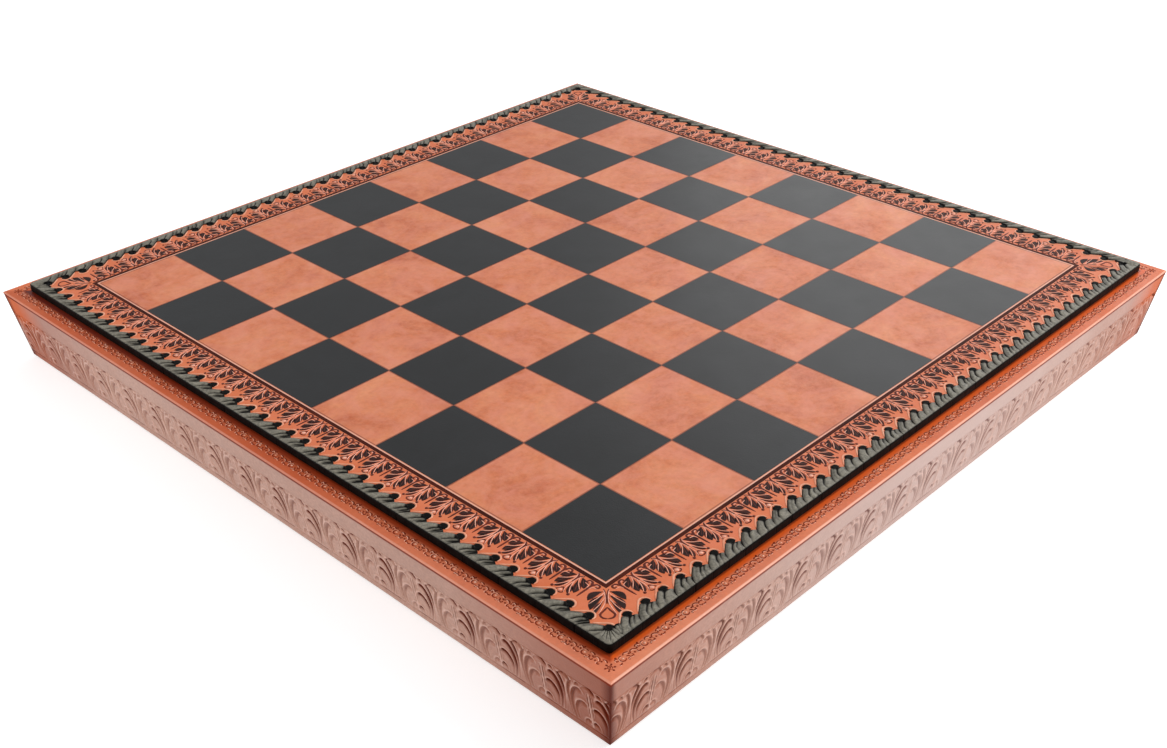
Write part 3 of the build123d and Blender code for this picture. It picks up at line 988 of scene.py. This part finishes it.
def motif_ledge_corner():
    """Small rosette where two bands meet."""
    shapes = [stroke(circle_arc((0, 0), 1.0, 0, 340), 0.45, 0.1), plate(disc((0, 0), 0.4), 0.1)]
    for step in range(6):
        angle = math.radians(60 * step)
        root = (1.2 * math.cos(angle), 1.2 * math.sin(angle))
        tip = (2.5 * math.cos(angle), 2.5 * math.sin(angle))
        shapes.append(plate(leaf(root, tip, 0.8), 0.1))
    return shapes


ledge_motif = motif_ledge()
ledge_corner = motif_ledge_corner()
for turn, side in enumerate(SIDES):
    scroll = Piece()
    glints = Piece()
    step = 2 * LEDGE_END / LEDGE_MOTIFS
    for count in range(LEDGE_MOTIFS):
        place = -LEDGE_END + (count + 0.25) * step
        lay(scroll, ledge_motif[0], turn, place, LEDGE_MIDDLE, LEDGE_TOP)
        lay(glints, ledge_motif[1], turn, place, LEDGE_MIDDLE, LEDGE_TOP)
    lay(scroll, ledge_corner, turn, LEDGE_MIDDLE, LEDGE_MIDDLE, LEDGE_TOP)
    scroll.make("ledge_scrolls_" + side, "box", "tan_leather", print_scroll)
    glints.make("ledge_ridges_" + side, "box", "tan_leather", ledge_glint)


# Pressed band of leaves and darts on the sloping sides. Half of the pattern is drawn in (u, z), with u from
# a rib and z from the foot, as (line, width, depth) of each groove.

BAND_PERIOD = 26.85
BAND_COLUMNS = 950
BAND_THICK = 1.55
PATTERN_LOW = 4.6
PATTERN_TOP = 29.9
FOOT_GROOVE = 3.0
RIB = [(0, 26.5), (0, 6.0)]
HALF_WAY_RIB = [(13.42, 24.0), (13.42, 6.0)]
FIRST_RIB = {"front": -211.0, "right": -205.0, "back": -208.0, "left": 225.0}
FRONDS = (
    ([(-4.9, 24.4), (-6.4, 24.6), (-8.2, 22.8), (-9.8, 18.9), (-10.4, 14.0), (-9.9, 9.3), (-9.1, 5.9)],
     1.05, 1.1),
    ([(-9.7, 27.6), (-11.2, 24.6), (-12.1, 19.5), (-11.9, 12.5), (-11.2, 6.6)], 0.7, 0.8),
    ([(-2.6, 17.7), (-4.4, 18.0), (-6.4, 16.6), (-7.9, 13.6), (-8.3, 10.6), (-7.8, 6.8)], 0.95, 1.0),
    ([(-0.9, 8.6), (-2.0, 9.0), (-3.4, 8.0), (-4.0, 6.2)], 0.8, 0.8),
    ([(-5.6, 28.6), (-6.4, 28.1), (-7.4, 26.9)], 0.7, 0.9),
    ([(-0.8, 25.5), (-0.9, 15.0), (-0.8, 6.5)], 0.3, 0.35),
)
CAP = ([(3.0, 27.4), (1.6, 28.9), (-0.4, 29.2), (-2.4, 28.6), (-3.8, 27.0)], 0.75, 0.85)


def signed_distance(line, x, y):
    """Distance to a line, which side of it a place is on and how far along it, from 0 to 1."""
    best = np.full(x.shape, 1e9)
    sign = np.ones(x.shape)
    along = np.zeros(x.shape)
    for index, ((x0, y0), (x1, y1)) in enumerate(zip(line, line[1:])):
        dx = x1 - x0
        dy = y1 - y0
        t = np.clip(((x - x0) * dx + (y - y0) * dy) / (dx * dx + dy * dy + 1e-9), 0, 1)
        away = np.hypot(x - x0 - t * dx, y - y0 - t * dy)
        closer = away < best
        best = np.where(closer, away, best)
        sign = np.where(closer, np.sign(dx * (y - y0) - dy * (x - x0)), sign)
        along = np.where(closer, (index + t) / (len(line) - 1), along)
    return best, sign, along


def bell(away, width):
    """1 where away is 0, falling off to either side."""
    return np.exp(-(away / width) ** 2)


def scoop(line, width, depth, x, y):
    """Groove along a line, widest and deepest near its start, with a rim on its outer side."""
    away, sign, along = signed_distance(smooth_line(line, 3), x, y)
    strong = np.interp(along, [0, 0.1, 0.45, 0.75, 1], [0.7, 1, 0.85, 0.4, 0.15])
    span = 1.2 * width * (0.35 + 0.65 * strong)
    hollow = -depth * strong * bell(away, span)
    rim = 0.4 * (0.4 + 0.6 * strong) * bell(away - 1.5 * span, 0.6 * span + 0.1)
    return hollow + rim * np.where(sign > 0, 0.4, 1)


def in_period(u):
    """Distance from the nearest rib, negative before it."""
    return (u + BAND_PERIOD / 2) % BAND_PERIOD - BAND_PERIOD / 2


def relief(u, z):
    """Height of the pressed pattern at u from a rib and z from the foot, in millimetres."""
    u = in_period(u)
    total = np.zeros(u.shape)
    for mirror in (1, -1):
        for line, width, depth in FRONDS:
            total += scoop(line, width, depth, u * mirror, z)
        total += 0.12 * bell(signed_distance(HALF_WAY_RIB, u * mirror, z)[0], 0.5)
    half_way = np.where(u < 0, u + BAND_PERIOD / 2, u - BAND_PERIOD / 2)
    total += scoop(*CAP, u, z) + scoop(*CAP, half_way, z)
    total += 0.35 * bell(signed_distance(RIB, u, z)[0], 0.5)
    total *= np.clip((z - PATTERN_LOW) / 0.8, 0, 1) * np.clip((PATTERN_TOP - z) / 0.4, 0, 1)
    total -= 0.4 * bell(z - PATTERN_LOW, 0.4) + 0.2 * bell(z - FOOT_GROOVE, 0.3)
    return np.clip(total, -1.1, 0.5)


def pressed_side(turn, side):
    """Sheet of leather with the pressed pattern, mitred at the corners."""
    heights = np.append(np.arange(BAND_LOW, BAND_TOP - 0.2, 0.5), BAND_TOP + 0.14)
    along = np.linspace(-1, 1, BAND_COLUMNS + 1)
    near = 1 if side in ("left", "right") else -1
    front = []
    back = []
    values = []
    for z in heights:
        half = FOOT_HALF + TAPER * z
        inner = half - BAND_THICK
        s = along * half
        u = s - FIRST_RIB[side]
        level = np.full(s.shape, z)
        shape = relief(u, level)
        shape = shape + 0.03 * np.sin(0.19 * s + turn) * np.sin(0.23 * z + s * 0.05)
        shape = shape * np.clip((half - np.abs(s)) / 1.6, 0, 1)
        front.append(np.column_stack([s * (half + shape) / half, half + shape, level]))
        back.append(np.column_stack([s * inner / half, np.full(s.shape, inner), level]))
        # Hollows get more weight on one side of each rib than the other: painted shade over the stain in
        # them.
        stain_and_shade = np.clip(0.8 + 0.2 * near * in_period(u), 0.35, 1.2)
        values.append(shape * np.where(shape < 0, stain_and_shade, 1))
    count = len(along)
    starts = [row * count for row in range(len(heights))]
    low = len(heights) * count
    high = low + count
    faces = []
    for start in starts[:-1]:
        for place in range(start, start + BAND_COLUMNS):
            faces.append((place, place + 1, place + count + 1, place + count))
    for column in range(BAND_COLUMNS):
        faces.append((column + 1, column, low + column, low + column + 1))
        top = starts[-1] + column
        faces.append((top, top + 1, high + column + 1, high + column))
        faces.append((low + column + 1, low + column, high + column, high + column + 1))
    faces.append(tuple(starts + [high, low]))
    faces.append(tuple([place + BAND_COLUMNS for place in starts[::-1] + [low, high]]))
    points = np.concatenate(front + [back[0], back[-1]])
    piece = Piece()
    piece.add(to_world(points, turn), faces, np.concatenate(values + [np.zeros(2 * count)]))
    made = piece.make("pressed_leather_" + side, "box", "pressed_leather", band_tan)
    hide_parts("pressed_band_" + side)


for turn, side in enumerate(SIDES):
    pressed_side(turn, side)


# Floor, light and camera

def area_light(name, place, target, size, power, colour=(1, 1, 1)):
    """Add a rectangular lamp at a place, aimed at a target."""
    data = bpy.data.lights.new(name, "AREA")
    data.shape = "RECTANGLE"
    data.size = size[0]
    data.size_y = size[1]
    data.energy = power
    data.color = colour
    light = bpy.data.objects.new(name, data)
    bpy.context.scene.collection.objects.link(light)
    light.location = place
    light.rotation_euler = (Vector(target) - Vector(place)).to_track_quat("-Z", "Y").to_euler()


bpy.ops.mesh.primitive_plane_add(size=12.0, location=(0, 0, -0.0004))
floor = bpy.context.object
floor.name = "floor"
floor_mat, _, floor_shader = material("floor_white")
floor_shader.inputs["Base Color"].default_value = (0.75, 0.75, 0.75, 1)
floor_shader.inputs["Roughness"].default_value = 0.9
floor_shader.inputs["Emission Color"].default_value = (1, 1, 1, 1)
floor_shader.inputs["Emission Strength"].default_value = 0.55
floor.data.materials.append(floor_mat)

area_light("key", (1.3, -1.3, 1.3), (0.1, 0, 0.03), (1.1, 1.1), 30.0, (1.0, 0.985, 0.97))
area_light("left", (-1.3, 1.1, 0.9), (-0.1, 0.1, 0.03), (0.8, 0.8), 10.0, (1.0, 0.98, 0.97))
area_light("back", (1.8, 0.4, 0.9), (0, 0, 0.05), (1.8, 1.0), 7.0)

world = bpy.data.worlds.new("studio")
bpy.context.scene.world = world
world.use_nodes = True
world_nodes = world.node_tree.nodes
world_nodes.clear()
world_out = world_nodes.new("ShaderNodeOutputWorld")
seen = world_nodes.new("ShaderNodeBackground")
seen.inputs["Color"].default_value = (1, 1, 1, 1)
seen.inputs["Strength"].default_value = 1.0
glow = world_nodes.new("ShaderNodeBackground")
glow.inputs["Color"].default_value = (0.97, 0.98, 1.0, 1)
glow.inputs["Strength"].default_value = 0.55
path = world_nodes.new("ShaderNodeLightPath")
either = world_nodes.new("ShaderNodeMixShader")
world.node_tree.links.new(path.outputs["Is Camera Ray"], either.inputs["Fac"])
world.node_tree.links.new(glow.outputs[0], either.inputs[1])
world.node_tree.links.new(seen.outputs[0], either.inputs[2])
world.node_tree.links.new(either.outputs[0], world_out.inputs["Surface"])

# The camera was solved from the squares, the edge of the lid and the ledge in the photograph
camera_data = bpy.data.cameras.new("camera")
camera_data.sensor_width = 36.0
camera_data.sensor_fit = "HORIZONTAL"
camera_data.lens = 45.25
camera_data.clip_start = 0.01
camera_data.clip_end = 50.0
camera = bpy.data.objects.new("camera", camera_data)
bpy.context.scene.collection.objects.link(camera)
right = Vector((0.69069625, -0.72309218, -0.00874034))
down = Vector((-0.37461769, -0.3474435, -0.85961887))
ahead = Vector((0.61854691, 0.59700981, -0.51086104))
turned = Matrix((right, -down, -ahead)).transposed().to_4x4()
turned.translation = Vector((-0.55129, -0.52740, 0.38590 + LEATHER_TOP * MM))
camera.matrix_world = turned
bpy.context.scene.camera = camera
bpy.context.scene.view_settings.view_transform = "Standard"
